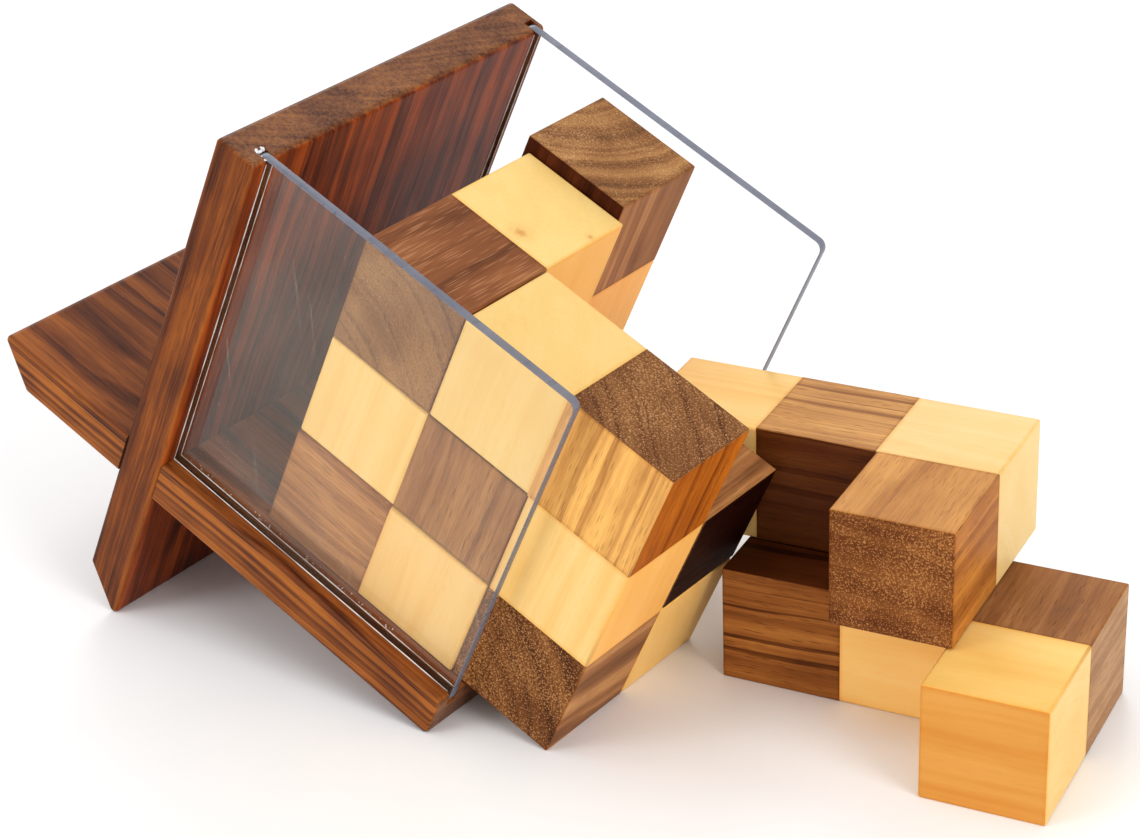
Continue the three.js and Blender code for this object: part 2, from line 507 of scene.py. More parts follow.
DARK_HARDWOOD = WoodFinish(
    slot="dark_hardwood",
    deep=(0.085, 0.026, 0.006), middle=(0.29, 0.112, 0.033), pale=(0.56, 0.27, 0.085),
    pore_long=(0.075, 0.022, 0.006), pore_end=(0.62, 0.33, 0.13),
    pore_long_share=0.62, pore_end_share=0.80,
    end_tint=(0.42, 0.36, 0.31), edge_tint=(0.84, 0.76, 0.66),
    ring_width=4.0, wander=6.0, pore_spacing=0.46, pore_size=0.31, pore_length=5.0,
    cloud=0.16, hair=0.12, lines=1.0, end_bands=0.9, roughness=0.5, shine=0.08, bump=0.02,
)
LIGHT_HARDWOOD = WoodFinish(
    slot="light_hardwood",
    deep=(0.78, 0.47, 0.135), middle=(0.83, 0.56, 0.20), pale=(0.87, 0.63, 0.27),
    pore_long=(0.62, 0.32, 0.08), pore_end=(0.66, 0.38, 0.12),
    pore_long_share=0.14, pore_end_share=0.10,
    end_tint=(0.98, 0.98, 0.96), edge_tint=(0.95, 0.84, 0.66),
    ring_width=6.0, wander=8.0, pore_spacing=0.8, pore_size=0.30, pore_length=5.0,
    cloud=0.20, hair=0.08, lines=0.3, end_bands=0.35, roughness=0.45, shine=0.10, bump=0.008,
)
ROSEWOOD = WoodFinish(
    slot="cradle_rosewood",
    deep=(0.050, 0.012, 0.004), middle=(0.20, 0.062, 0.015), pale=(0.42, 0.15, 0.030),
    pore_long=(0.035, 0.009, 0.004), pore_end=(0.30, 0.14, 0.06),
    pore_long_share=0.45, pore_end_share=0.25,
    end_tint=(0.68, 0.72, 1.0), edge_tint=(0.85, 0.80, 0.76),
    ring_width=1.9, wander=5.0, pore_spacing=0.5, pore_size=0.34, pore_length=6.0,
    cloud=0.3, hair=0.14, lines=1.0, end_bands=0.4, roughness=0.36, shine=0.12, bump=0.02,
)
HARDWOODS = {Tone.DARK: DARK_HARDWOOD, Tone.LIGHT: LIGHT_HARDWOOD}


@dataclass
class WoodShop:
    """Makes a material for each piece of wood, all from one pattern."""

    pattern: NodeTree = field(default_factory=wood_pattern_tree)
    made: int = 0

    def material(self, name: str, finish: WoodFinish, cut: WoodCut, axes: Matrix, middle: Vector,
                 half_size: float) -> bpy.types.Material:
        """A solid-wood material for one piece.

        Args:
            name: The material's name.
            finish: The wood.
            cut: How this piece was sawn.
            axes: The piece's own directions, as columns.
            middle: The piece's middle, in metres.
            half_size: Half the piece's thickness in millimetres, where its worn edges are.

        Returns:
            The material.
        """
        self.made += 1
        turn = Matrix([axes.col[(cut.grain.value + step) % 3] for step in (1, 2, 3)])
        material, g = new_material(name)
        coordinates = g.add("ShaderNodeTexCoord").outputs
        place = g.add(
            "ShaderNodeMapping",
            {"Vector": coordinates["Object"], "Scale": (1 / MM,) * 3, "Rotation": turn.to_euler(),
             "Location": turn @ middle * (-1 / MM)},
            vector_type="POINT",
        ).outputs[0]
        facing = g.add("ShaderNodeMapping", {"Vector": coordinates["Normal"], "Rotation": turn.to_euler()},
                       vector_type="VECTOR").outputs[0]
        grain = g.add("ShaderNodeGroup", node_tree=self.pattern)
        for socket, value in {
            "Place": place, "Facing": facing, "Cut": (*cut.heart, CUT_STEP * self.made),
            "Ring Width": finish.ring_width * cut.ring_scale, "Wander": finish.wander,
            "Pore Spacing": finish.pore_spacing / cut.pore_reach ** 0.5,
            "Pore Size": finish.pore_size * (0.6 + 0.4 * cut.pore_reach),
            "Pore Length": finish.pore_length * cut.pore_reach, "Half Size": half_size,
        }.items():
            g.feed(grain.inputs[socket], value)
        mask = grain.outputs
        sides = g.split(mask["Sides"])
        end = sides["Z"]

        band_share = g.remap(end, 0.0, 1.0, cut.bands, cut.bands * finish.end_bands)
        figure: Any = 0.5 + cut.shift
        for layer, strength in (("Bands", band_share), ("Fibre", cut.fibre), ("Cloud", finish.cloud),
                                ("Hair", finish.hair)):
            figure = g.math("MULTIPLY_ADD", g.math("SUBTRACT", mask[layer], 0.5), strength, figure)
        figure = g.math("MULTIPLY_ADD", mask["Lines"], -cut.lines * finish.lines, figure)
        colour = g.ramp(figure, [(0.08, finish.deep), (0.48, finish.middle), (0.92, finish.pale)])
        colour = g.mix(end, colour, finish.end_tint, "MULTIPLY")
        holes = g.mix(end, PORE_DUST if cut.fill is PoreFill.DUST else finish.pore_long, finish.pore_end)
        long_share = g.math("MULTIPLY", mask["Pores"], finish.pore_long_share * cut.pores)
        end_share = g.math("MULTIPLY", mask["Dots"], finish.pore_end_share * cut.dots)
        share = g.add("ShaderNodeMix", {0: end, 2: long_share, 3: end_share}, data_type="FLOAT").outputs[0]
        colour = g.mix(1.0, g.mix(share, colour, holes), cut.tint, "MULTIPLY")
        # painted light and shade: the face tints also stand in for how brightly each face is lit
        for way, tint in cut.faces:
            colour = g.mix(sides[(way.value - cut.grain.value - 1) % 3], colour, tint, "MULTIPLY")
        colour = g.mix(mask["Edge"], colour, finish.edge_tint, "MULTIPLY")
        for x, y, z, radius in cut.knots:
            colour = self.knot(g, place, (x, y, z), radius, colour)
        roughness = g.remap(mask["Hair"], 0.0, 1.0, finish.roughness - 0.06, finish.roughness + 0.08)
        height = g.math("SUBTRACT", g.math("MULTIPLY", mask["Hair"], 0.35), mask["Pores"])
        bump = g.add("ShaderNodeBump", {"Height": height, "Strength": 0.6, "Distance": finish.bump * MM})
        surface = g.add(
            "ShaderNodeBsdfPrincipled",
            {"Base Color": colour, "Roughness": roughness, "Normal": bump.outputs[0],
             "Specular IOR Level": finish.shine},
        )
        g.add("ShaderNodeOutputMaterial", {"Surface": surface.outputs[0]})
        return material

    def knot(self, g: Graph, place: Socket, centre: tuple[float, float, float], radius: float,
             colour: Socket) -> Socket:
        """Lays one small knot over a wood's colour.

        Args:
            g: The material's graph.
            place: The place on the piece, in millimetres with the grain along Z.
            centre: The knot's middle there.
            radius: The knot's radius.
            colour: The wood's colour so far.

        Returns:
            The colour with the knot in it.
        """
        away = g.vector("DISTANCE", place, centre)
        ragged = g.math("MULTIPLY_ADD", g.noise(place, 1.6, 3.0), radius * 0.9, away)
        eye = g.remap(ragged, radius * 0.5, radius * 1.5, 0.85, 0.0)
        halo = g.remap(ragged, radius, radius * 3.0, 0.3, 0.0)
        colour = g.mix(halo, colour, (0.66, 0.36, 0.10))
        return g.mix(eye, colour, (0.58, 0.27, 0.07))


# --- the blocks ---


@dataclass(frozen=True)
class BlockFrame:
    """Where one block of a piece is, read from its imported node.

    Attributes:
        axes: Its own directions along, across and up, as columns.
        low: Its lowest reach in each of them, in metres.
        high: Its highest reach in each of them, in metres.
    """

    axes: Matrix
    low: Vector
    high: Vector

    @classmethod
    def of_node(cls, name: str) -> "BlockFrame":
        """Measures a packed block.

        Args:
            name: The block's node.

        Returns:
            Its directions and reach.
        """
        mesh = frame["nodes"][name].data
        sides: dict[tuple[float, ...], list[Any]] = {}
        for polygon in mesh.polygons:
            key = tuple(round(value, 1) for value in polygon.normal)
            entry = sides.setdefault(key, [0.0, Vector()])
            entry[0] += polygon.area
            entry[1] += polygon.normal * polygon.area
        by_area = sorted(sides.values(), key=lambda entry: -entry[0])
        largest = [entry[1].normalized() for entry in by_area[:6]]
        along = max(largest, key=lambda normal: normal.x)
        across = max(largest, key=lambda normal: normal.y)
        up = max(largest, key=lambda normal: normal.z)
        axes = Matrix((along, across, up)).transposed()
        reach = np.array([vertex.co for vertex in mesh.vertices]) @ np.array(axes)
        return cls(axes, Vector(reach.min(0)), Vector(reach.max(0)))

    def middle(self) -> Vector:
        """The block's middle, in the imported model's frame."""
        return self.axes @ ((self.low + self.high) / 2)

    def glued(self, others: list["BlockFrame"]) -> tuple[Vector, Vector]:
        """Which of its sides other blocks are glued to.

        Args:
            others: The other blocks of the same piece.

        Returns:
            Two vectors of 0 and 1, for the low sides and the high sides.
        """
        low, high = Vector((0, 0, 0)), Vector((0, 0, 0))
        pitch = (self.high - self.low).x
        for other in others:
            step = self.axes.transposed() @ (other.middle() - self.middle())
            for axis in range(3):
                rest = [abs(step[other_axis]) for other_axis in range(3) if other_axis != axis]
                if max(rest) < pitch * 0.2 and 0.8 * pitch < abs(step[axis]) < 1.2 * pitch:
                    (high if step[axis] > 0 else low)[axis] = 1.0
        return low, high


def eased_block_tree() -> NodeTree:
    """A block with its free edges eased and its glued sides cut flush.

    Returns:
        The geometry tree.
    """
    tree = tree_with_sockets(
        "eased_block",
        "GeometryNodeTree",
        {"Low": "Vector", "High": "Vector", "Glued Low": "Vector", "Glued High": "Vector", "Ease": "Float",
         "Glue Gap": "Float", "Turn": "Vector", "Wood": "Material"},
        {"Geometry": "Geometry"},
    )
    g = Graph(tree)
    given = g.add("NodeGroupInput").outputs

    def cube_between(low: Any, high: Any) -> Socket:
        """A plain cube between two corners.

        Args:
            low: Its lowest corner.
            high: Its highest corner.

        Returns:
            The cube's geometry.
        """
        size = g.vector("SUBTRACT", high, low)
        centre = g.scaled(g.vector("ADD", high, low), 0.5)
        cube = g.add("GeometryNodeMeshCube", {"Size": size}).outputs["Mesh"]
        return g.add("GeometryNodeTransform", {"Geometry": cube, "Translation": centre}).outputs[0]

    flush_low = g.vector("SUBTRACT", given["Low"], g.scaled(given["Glued Low"], given["Glue Gap"]))
    flush_high = g.vector("ADD", given["High"], g.scaled(given["Glued High"], given["Glue Gap"]))
    over = g.math("MULTIPLY", given["Ease"], 4.0)
    inset = g.join(given["Ease"], given["Ease"], given["Ease"])
    core = cube_between(
        g.vector("ADD", g.vector("SUBTRACT", flush_low, g.scaled(given["Glued Low"], over)), inset),
        g.vector("SUBTRACT", g.vector("ADD", flush_high, g.scaled(given["Glued High"], over)), inset),
    )
    ball = g.add("GeometryNodeMeshUVSphere", {"Segments": 16, "Rings": 8,
                                              "Radius": given["Ease"]}).outputs["Mesh"]
    corners = g.add("GeometryNodeInstanceOnPoints", {"Points": core, "Instance": ball}).outputs[0]
    corners = g.add("GeometryNodeRealizeInstances", {0: corners}).outputs[0]
    hull = g.add("GeometryNodeConvexHull", {0: corners}).outputs[0]
    spare_low = g.vector("SUBTRACT", (1.0, 1.0, 1.0), given["Glued Low"])
    spare_high = g.vector("SUBTRACT", (1.0, 1.0, 1.0), given["Glued High"])
    saw = cube_between(
        g.vector("SUBTRACT", flush_low, g.scaled(spare_low, SAW_REACH)),
        g.vector("ADD", flush_high, g.scaled(spare_high, SAW_REACH)),
    )
    cut = g.add("GeometryNodeMeshBoolean", operation="INTERSECT", solver="EXACT")
    g.feed(cut.inputs["Mesh 2"], hull)
    g.feed(cut.inputs["Mesh 2"], saw)
    area = g.add("GeometryNodeInputMeshFaceArea").outputs[0]
    small = g.math("LESS_THAN", area, EASED_FACE)
    flat = g.add("GeometryNodeSetShadeSmooth", {"Geometry": cut.outputs["Mesh"],
                                                "Shade Smooth": False}).outputs[0]
    smooth = g.add("GeometryNodeSetShadeSmooth", {"Geometry": flat, "Selection": small,
                                                  "Shade Smooth": True}).outputs[0]
    turned = g.add("GeometryNodeTransform", {"Geometry": smooth, "Rotation": given["Turn"]}).outputs[0]
    close_tree(g, turned, given["Wood"])
    return tree


@dataclass
class PuzzlePiece:
    """One glued piece of the puzzle: blocks of two woods by turns. Lengths are in millimetres."""

    body: str
    cuts: dict[str, WoodCut]
    dark_ease: float = 0.38
    light_ease: float = 0.5
    glue_gap: float = 0.02

    def build(self, shop: WoodShop, block_tree: NodeTree) -> list[bpy.types.Object]:
        """Builds the piece's blocks in place of its packed ones.

        Args:
            shop: Makes the wood.
            block_tree: The geometry tree that makes a block.

        Returns:
            The new blocks.
        """
        frames = {node: BlockFrame.of_node(node) for node in self.nodes()}
        blocks = []
        for node, cut in zip(self.nodes(), self.cuts.values()):
            place = frames[node]
            others = [other for name, other in frames.items() if name != node]
            glued_low, glued_high = place.glued(others)
            tone = Tone(node.split("_")[-2])
            finish = HARDWOODS[tone]
            half = (place.high - place.low).x / 2 / MM
            wood = shop.material(f"{node}_wood", finish, cut, place.axes, place.middle(), half)
            ease = (self.dark_ease if tone is Tone.DARK else self.light_ease) * MM
            block = grow_mesh(block_tree, f"{node}_block", {
                "Low": place.low, "High": place.high, "Glued Low": glued_low, "Glued High": glued_high,
                "Ease": ease, "Glue Gap": self.glue_gap * MM, "Turn": Vector(place.axes.to_euler()),
                "Wood": wood,
            })
            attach(block, self.body)
            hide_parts(node)
            blocks.append(block)
        return blocks

    def nodes(self) -> list[str]:
        """The piece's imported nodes, in the order of its cuts."""
        return [f"{self.body}_{block}" for block in self.cuts]


# --- the cradle ---


@dataclass(frozen=True)
class AcrylicFinish:
    """Clear sheet with sawn edges."""

    slot: str = "clear_acrylic"
    tint: Colour = (1.0, 0.997, 0.992)
    haze: Colour = (0.92, 0.77, 0.60)
    haze_share: float = 0.020
    scratch_share: float = 0.10
    edge: Colour = (0.135, 0.145, 0.19)

    def sheet(self) -> bpy.types.Material:
        """The flat faces: clear, glossy, faintly hazed and scratched.

        Returns:
            The material.
        """
        material, g = new_material("acrylic_sheet")
        place = g.add("ShaderNodeTexCoord").outputs["Object"]
        scratches: Any = 0.0
        for turn, fineness in ((0.5, 900.0), (-0.9, 1300.0), (1.9, 700.0)):
            turned = g.add("ShaderNodeMapping", {"Vector": place, "Rotation": (0.0, turn, 0.0),
                                                 "Scale": (fineness, fineness, fineness * 0.03)}).outputs[0]
            line = g.remap(g.noise(turned, 1.0, 1.0), 0.70, 0.78)
            patch = g.remap(g.noise(place, 60.0 + 10.0 * turn, 2.0), 0.5, 0.68)
            scratches = g.math("MAXIMUM", scratches, g.math("MULTIPLY", line, patch))
        cloudy = g.noise(place, 45.0, 4.0, 0.65)
        cloudy = g.remap(cloudy, 0.3, 0.75, self.haze_share * 0.4, self.haze_share * 1.6)
        share = g.math("MULTIPLY_ADD", scratches, self.scratch_share, cloudy)
        clear = g.add("ShaderNodeBsdfTransparent", {"Color": self.tint})
        film = g.add("ShaderNodeBsdfDiffuse", {"Color": self.haze})
        body = g.add("ShaderNodeMixShader", {0: share, 1: clear.outputs[0], 2: film.outputs[0]})
        gloss = g.add("ShaderNodeBsdfGlossy", {"Color": (1.0, 0.97, 0.92), "Roughness": 0.03})
        facing = g.add("ShaderNodeLayerWeight", {"Blend": 0.5}).outputs["Facing"]
        shine = g.math("MULTIPLY_ADD", g.math("POWER", facing, 5.0), 0.96, 0.03)
        surface = g.add("ShaderNodeMixShader", {0: shine, 1: body.outputs[0], 2: gloss.outputs[0]})
        g.add("ShaderNodeOutputMaterial", {"Surface": surface.outputs[0]})
        return material

    def sawn_edge(self) -> bpy.types.Material:
        """The edges: blue-grey, half clear, with saw chatter.

        Returns:
            The material.
        """
        material, g = new_material("acrylic_edge")
        place = g.add("ShaderNodeTexCoord").outputs["Object"]
        chatter = g.noise(g.vector("MULTIPLY", place, (420.0, 90.0, 420.0)), 1.0, 3.0)
        cloud = g.noise(place, 120.0, 3.0)
        light = tuple(value * 1.25 for value in self.edge)
        dark = tuple(value * 0.85 for value in self.edge)
        colour = g.ramp(g.math("MULTIPLY_ADD", cloud, 0.5, g.math("MULTIPLY", chatter, 0.5)),
                        [(0.30, dark), (0.50, self.edge), (0.72, light)])
        bump = g.add("ShaderNodeBump", {"Height": chatter, "Strength": 0.3, "Distance": 0.02 * MM})
        surface = g.add("ShaderNodeBsdfPrincipled", {
            "Base Color": colour, "Roughness": g.remap(chatter, 0.3, 0.7, 0.25, 0.4),
            "Normal": bump.outputs[0], "IOR": 1.49, "Transmission Weight": 0.15,
        })
        g.add("ShaderNodeOutputMaterial", {"Surface": surface.outputs[0]})
        return material


@dataclass
class ClearPanel:
    """One clear panel of the cradle. Lengths are in millimetres."""

    node: str
    edge_ease: float = 0.18

    def build(self, sheet: bpy.types.Material, edge: bpy.types.Material, slot: str) -> bpy.types.Object:
        """Builds the panel in place of its packed one, with eased edges.

        Args:
            sheet: The material of its two faces.
            edge: The material of its edges.
            slot: The record's slot for both, which is not used.

        Returns:
            The new panel.
        """
        shape = bmesh.new()
        shape.from_mesh(frame["nodes"][self.node].data)
        bmesh.ops.remove_doubles(shape, verts=shape.verts, dist=1e-6)
        bmesh.ops.dissolve_limit(shape, angle_limit=math.radians(0.5), verts=shape.verts, edges=shape.edges)
        rims = [rim for rim in shape.edges if len(rim.link_faces) == 2
                and (abs(rim.link_faces[0].normal.y) > 0.9) != (abs(rim.link_faces[1].normal.y) > 0.9)]
        bmesh.ops.bevel(shape, geom=rims, offset=self.edge_ease * MM, segments=2, profile=0.5,
                        affect="EDGES")
        bmesh.ops.recalc_face_normals(shape, faces=shape.faces)
        for face in shape.faces:
            face.material_index = 0 if abs(face.normal.y) > 0.99 else 1
            face.smooth = face.material_index == 1
        mesh = mesh_of(shape, f"{self.node}_sheet")
        mesh.materials.append(sheet)
        mesh.materials.append(edge)
        piece = linked(f"{self.node}_sheet", mesh)
        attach(piece, "cradle")
        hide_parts(self.node)
        return piece


def glue_bead_tree() -> NodeTree:
    """An uneven thin bead that follows a line.

    Returns:
        The geometry tree.
    """
    tree = tree_with_sockets(
        "glue_bead",
        "GeometryNodeTree",
        {"Start": "Vector", "End": "Vector", "Radius": "Float", "Step": "Float", "Lumps": "Float",
         "Seed": "Float", "Glue": "Material"},
        {"Geometry": "Geometry"},
    )
    g = Graph(tree)
    given = g.add("NodeGroupInput").outputs
    line = g.add("GeometryNodeCurvePrimitiveLine", {"Start": given["Start"], "End": given["End"]}).outputs[0]
    line = g.add("GeometryNodeResampleCurve", {"Curve": line, "Length": given["Step"]},
                 mode="LENGTH").outputs[0]
    place = g.add("GeometryNodeInputPosition").outputs[0]
    lump = g.add("ShaderNodeTexNoise", {"Vector": place, "W": given["Seed"], "Scale": given["Lumps"],
                                        "Detail": 2.0}, noise_dimensions="4D").outputs["Fac"]
    swell = g.math("MULTIPLY", given["Radius"], g.remap(lump, 0.35, 0.65, 0.45, 1.25))
    ring = g.add("GeometryNodeCurvePrimitiveCircle", {"Resolution": 8, "Radius": 1.0}).outputs["Curve"]
    tube = g.add("GeometryNodeCurveToMesh", {"Curve": line, "Profile Curve": ring, "Fill Caps": True})
    g.feed(tube.inputs["Scale"], swell)
    smooth = g.add("GeometryNodeSetShadeSmooth", {"Geometry": tube.outputs[0],
                                                  "Shade Smooth": True}).outputs[0]
    close_tree(g, smooth, given["Glue"])
    return tree


def dust_tree() -> NodeTree:
    """Small flakes of sanding dust scattered in a thin box.

    Returns:
        The geometry tree.
    """
    tree = tree_with_sockets(
        "dust_flakes",
        "GeometryNodeTree",
        {"Count": "Int", "Low": "Vector", "High": "Vector", "Turn": "Vector", "Smallest": "Float",
         "Largest": "Float", "Seed": "Int", "Dust": "Material"},
        {"Geometry": "Geometry"},
    )
    g = Graph(tree)
    given = g.add("NodeGroupInput").outputs
    where = g.add("FunctionNodeRandomValue", {"Min": given["Low"], "Max": given["High"],
                                              "Seed": given["Seed"]}, data_type="FLOAT_VECTOR").outputs[0]
    points = g.add("GeometryNodePoints", {"Count": given["Count"], "Position": where}).outputs[0]
    flake = g.add("GeometryNodeMeshIcoSphere", {"Radius": 1.0, "Subdivisions": 1}).outputs["Mesh"]
    size = g.add("FunctionNodeRandomValue", {2: given["Smallest"], 3: given["Largest"],
                                             "Seed": given["Seed"]}, data_type="FLOAT").outputs[1]
    turn = g.add("FunctionNodeRandomValue", {"Max": (FULL_TURN,) * 3, "Seed": given["Seed"]},
                 data_type="FLOAT_VECTOR").outputs[0]
    squashed = g.vector("MULTIPLY", g.join(size, size, size), (1.0, 0.6, 0.4))
    flakes = g.add("GeometryNodeInstanceOnPoints", {"Points": points, "Instance": flake, "Rotation": turn,
                                                    "Scale": squashed}).outputs[0]
    turned = g.add("GeometryNodeTransform", {"Geometry": flakes, "Rotation": given["Turn"]}).outputs[0]
    close_tree(g, turned, given["Dust"])
    return tree


@dataclass(frozen=True)
class SpeckledFinish:
    """A small-grained plain finish for glue and dust."""

    name: str
    slot: str
    first: Colour
    second: Colour
    roughness: float
    clearness: float = 0.0

    def material(self) -> bpy.types.Material:
        """The finish as a material.

        Returns:
            The material.
        """
        material, g = new_material(self.name)
        place = g.add("ShaderNodeTexCoord").outputs["Object"]
        speckle = g.noise(place, 900.0, 3.0, 0.7)
        colour = g.ramp(speckle, [(0.35, self.first), (0.65, self.second)])
        bump = g.add("ShaderNodeBump", {"Height": speckle, "Strength": 0.4, "Distance": 0.04 * MM})
        roughness = g.remap(speckle, 0.3, 0.7, self.roughness, self.roughness + 0.2)
        surface = g.add("ShaderNodeBsdfPrincipled", {
            "Base Color": colour, "Roughness": roughness, "Normal": bump.outputs[0],
            "Transmission Weight": self.clearness,
        })
        g.add("ShaderNodeOutputMaterial", {"Surface": surface.outputs[0]})
        return material


@dataclass
class Cradle:
    """Two crossed boards and two clear panels. Lengths are in millimetres."""

    acrylic: AcrylicFinish = field(default_factory=AcrylicFinish)
    glue: SpeckledFinish = SpeckledFinish(
        "dried_glue", "clear_acrylic", (0.85, 0.84, 0.82), (0.98, 0.97, 0.95), 0.25, clearness=0.2)
    dust: SpeckledFinish = SpeckledFinish(
        "sanding_dust", "light_hardwood", (0.88, 0.84, 0.78), (0.98, 0.96, 0.93), 0.8)
    crumbs: SpeckledFinish = SpeckledFinish(
        "glue_crumbs", "clear_acrylic", (0.46, 0.13, 0.11), (0.78, 0.60, 0.55), 0.4)
    bead_radius: float = 0.10
    bead_step: float = 0.8
    bead_lumps: float = 160.0  # lumps of glue in a metre
    first_seed: int = 11

    def axes(self) -> Matrix:
        """The cradle's own directions, read from two of its slides.

        Returns:
            The directions along, across and up, as columns.
        """
        joints = {joint["name"]: Vector(joint["axis"]) for joint in frame["joints"]}
        up = joints["middle_zigzag_lift"].normalized()
        along = -joints["cube_slide"].normalized()
        return Matrix((along, up.cross(along), up)).transposed()

    def reach(self, node: str) -> tuple[Vector, Vector]:
        """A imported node's lowest and highest reach along the cradle's own directions.

        Args:
            node: The node's name.

        Returns:
            The two corners, in metres.
        """
        vertices = np.array([vertex.co for vertex in frame["nodes"][node].data.vertices])
        reach = vertices @ np.array(self.axes())
        return Vector(reach.min(0)), Vector(reach.max(0))

    def dress_boards(self, shop: WoodShop) -> None:
        """Gives both boards their wood.

        Args:
            shop: Makes the wood.
        """
        # the board face tints give partly the rosewood's tone and partly painted shade on the inner faces
        cuts = {
            "cradle_upper_board": WoodCut(
                Way.UP, (150, -75), bands=0.5, fibre=0.35, shift=0.02, lines=0.10,
                faces=((Way.ALONG, (0.80, 0.40, 0.20)), (Way.ACROSS, (0.76, 0.54, 0.20)))),
            "cradle_lower_board": WoodCut(
                Way.ALONG, (60, 150), bands=0.65, fibre=0.25, shift=0.08, lines=0.18,
                faces=((Way.UP, (0.80, 0.65, 0.58)), (Way.ACROSS, (0.92, 0.75, 0.45)))),
        }
        axes = self.axes()
        for node, cut in cuts.items():
            low, high = self.reach(node)
            middle = axes @ ((low + high) / 2)
            wood = shop.material(f"{node}_wood", ROSEWOOD, cut, axes, middle, NO_WORN_EDGES)
            board = frame["nodes"][node]
            board.data.materials.clear()
            board.data.materials.append(wood)

    def build_panels(self) -> list[bpy.types.Object]:
        """Builds both clear panels.

        Returns:
            The new panels.
        """
        sheet, edge = self.acrylic.sheet(), self.acrylic.sawn_edge()
        return [ClearPanel(node).build(sheet, edge, self.acrylic.slot)
                for node in ("cradle_near_panel", "cradle_far_panel")]

    def build_glue(self) -> list[bpy.types.Object]:
        """Builds the glue lines where the panels enter the boards.

        Returns:
            The beads, one piece for each panel.
        """
        axes, tree, glue = self.axes(), glue_bead_tree(), self.glue.material()
        corner = self.reach("cradle_upper_board")[1].x
        floor = self.reach("cradle_lower_board")[1].z
        lift = self.bead_radius * MM * 0.3
        beads = []
        for side, node in (("near", "cradle_near_panel"), ("far", "cradle_far_panel")):
            low, high = self.reach(node)
            parts = []
            for index, (way, across) in enumerate((
                (Way.ALONG, low.y), (Way.ALONG, high.y), (Way.UP, low.y), (Way.UP, high.y),
            )):
                first = Vector((corner + lift, across, floor + lift))
                last = first.copy()
                last[way.value] = high[way.value] - MM
                parts.append(grow_mesh(tree, f"{side}_bead_{index}", {
                    "Start": axes @ first, "End": axes @ last, "Radius": self.bead_radius * MM,
                    "Step": self.bead_step * MM, "Lumps": self.bead_lumps, "Seed": 3.0 * index, "Glue": glue,
                }))
            beads.append(self.joined(parts, f"cradle_{side}_panel_glue"))
            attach(beads[-1], "cradle")
        return beads

    def build_dust(self) -> list[bpy.types.Object]:
        """Scatters dust by and on the near panel, and glue crumbs in its groove's open end.

        Returns:
            The dust and the crumbs.
        """
        low, high = self.reach("cradle_near_panel")
        floor = self.reach("cradle_lower_board")[1].z
        corner, _, top = self.reach("cradle_upper_board")[1]
        # boxes to scatter in, as their low and high corners along the cradle's own directions
        along_groove = (Vector((corner + 2 * MM, high.y + 0.15 * MM, floor)),
                        Vector((high.x - 18 * MM, high.y + 1.3 * MM, floor + 0.25 * MM)))
        on_panel = (Vector((corner + 3 * MM, low.y - 0.05 * MM, floor + 12 * MM)),
                    Vector((corner + 55 * MM, low.y, high.z - 4 * MM)))
        groove_end = (Vector((corner - 3.3 * MM, low.y - 0.3 * MM, top - 0.35 * MM)),
                      Vector((corner - 2.6 * MM, high.y + 0.2 * MM, top + 0.05 * MM)))
        groove_side = (Vector((corner - 3.0 * MM, low.y - 0.25 * MM, top - 0.35 * MM)),
                       Vector((corner - 0.2 * MM, low.y - 0.05 * MM, top)))
        tree, turn = dust_tree(), Vector(self.axes().to_euler())
        pieces = []
        for name, finish, boxes in (
            ("cradle_dust", self.dust, ((along_groove, 46, 0.06, 0.24), (on_panel, 60, 0.03, 0.12))),
            ("cradle_crumbs", self.crumbs, ((groove_end, 30, 0.25, 0.5), (groove_side, 16, 0.15, 0.35))),
        ):
            material = finish.material()
            parts = [grow_mesh(tree, f"{name}_{index}", {
                "Count": count, "Low": box[0], "High": box[1], "Turn": turn, "Smallest": smallest * MM,
                "Largest": largest * MM, "Seed": self.first_seed + index, "Dust": material,
            }) for index, (box, count, smallest, largest) in enumerate(boxes)]
            pieces.append(self.joined(parts, name))
            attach(pieces[-1], "cradle")
        return pieces

    def joined(self, parts: list[bpy.types.Object], name: str) -> bpy.types.Object:
        """Several meshes made into one.

        Args:
            parts: The objects to join, which are used up.
            name: The new piece's name.

        Returns:
            The new piece.
        """
        shape = bmesh.new()
        for part in parts:
            shape.from_mesh(part.data)
        mesh = mesh_of(shape, name)
        mesh.materials.append(parts[0].data.materials[0])
        for part in parts:
            bpy.data.objects.remove(part)
        return linked(name, mesh)


# --- the puzzle ---


# painted light: a warmer side face, standing in for warm light bounced onto the light blocks' sides
WARM_BOUNCE_SIDE = (Way.ALONG, (1.05, 0.86, 0.66))
